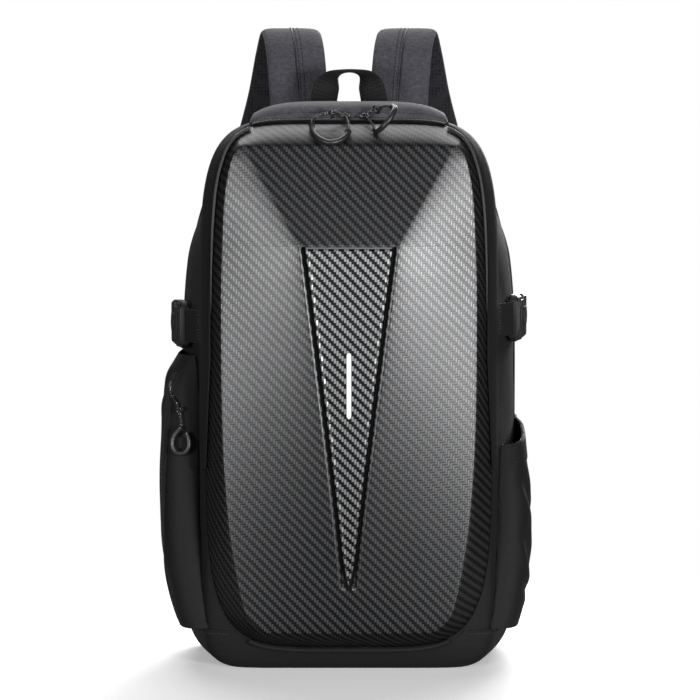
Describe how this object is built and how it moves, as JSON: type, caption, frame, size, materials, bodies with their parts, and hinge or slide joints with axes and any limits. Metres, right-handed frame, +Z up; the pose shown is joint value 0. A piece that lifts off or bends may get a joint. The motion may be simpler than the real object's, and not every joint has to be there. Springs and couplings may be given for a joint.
{
  "type": "hard shell backpack",
  "caption": "Upright laptop backpack with a faceted moulded front shell, fabric gusset, side pockets, buckled side straps, padded shoulder straps and a carry loop.",
  "frame": {"origin": "on the surface that it stands on, under the middle of the whole backpack", "axes": "+Z up, -Y the way the shell faces, +Y the way the shoulder straps hang, +X towards the open pocket"},
  "size_m": [0.321, 0.2624, 0.5435],
  "materials": {
    "shell": "dark carbon twill under clear coat",
    "white_mark": "satin",
    "fabric": "coated weave",
    "grey_fabric": "brushed weave",
    "mesh_fabric": "open mesh",
    "webbing": "ribbed webbing",
    "buckle": "satin",
    "rubber": "smooth",
    "cord": "braided, flecked with white"
  },
  "bodies": {
    "root": {"shell": "shell", "shell_bar": "white_mark", "piping_left": "grey_fabric", "piping_right": "grey_fabric", "piping_base": "grey_fabric", "bag_body": "fabric", "base_panel": "fabric", "back_pad": "mesh_fabric", "top_band": "grey_fabric", "zip_tape": "mesh_fabric", "zip_teeth": "buckle", "slider_left": "buckle", "slider_right": "buckle", "zip_flap_left": "fabric", "zip_flap_right": "fabric", "pull_cord_left": "cord", "pull_grip_left": "rubber", "pull_cord_right": "cord", "pull_grip_right": "rubber", "side_pocket_left": "fabric", "pocket_zip": "mesh_fabric", "pocket_slider": "buckle", "pocket_cord": "cord", "pocket_grip": "rubber", "side_pocket_right": "fabric", "pocket_hem": "webbing", "haul_loop": "webbing", "side_web_front_left": "webbing", "side_web_front_right": "webbing", "side_web_back_left": "webbing", "side_web_back_right": "webbing", "buckle_socket_left": "buckle", "buckle_socket_right": "buckle", "buckle_plug_left": "buckle", "buckle_plug_right": "buckle", "shoulder_strap_left": "grey_fabric", "shoulder_strap_right": "grey_fabric", "ladder_lock_left": "buckle", "ladder_lock_right": "buckle", "strap_web_left": "webbing", "strap_web_right": "webbing", "strap_tab_left": "webbing", "strap_tab_right": "webbing"}
  },
  "joints": []
}
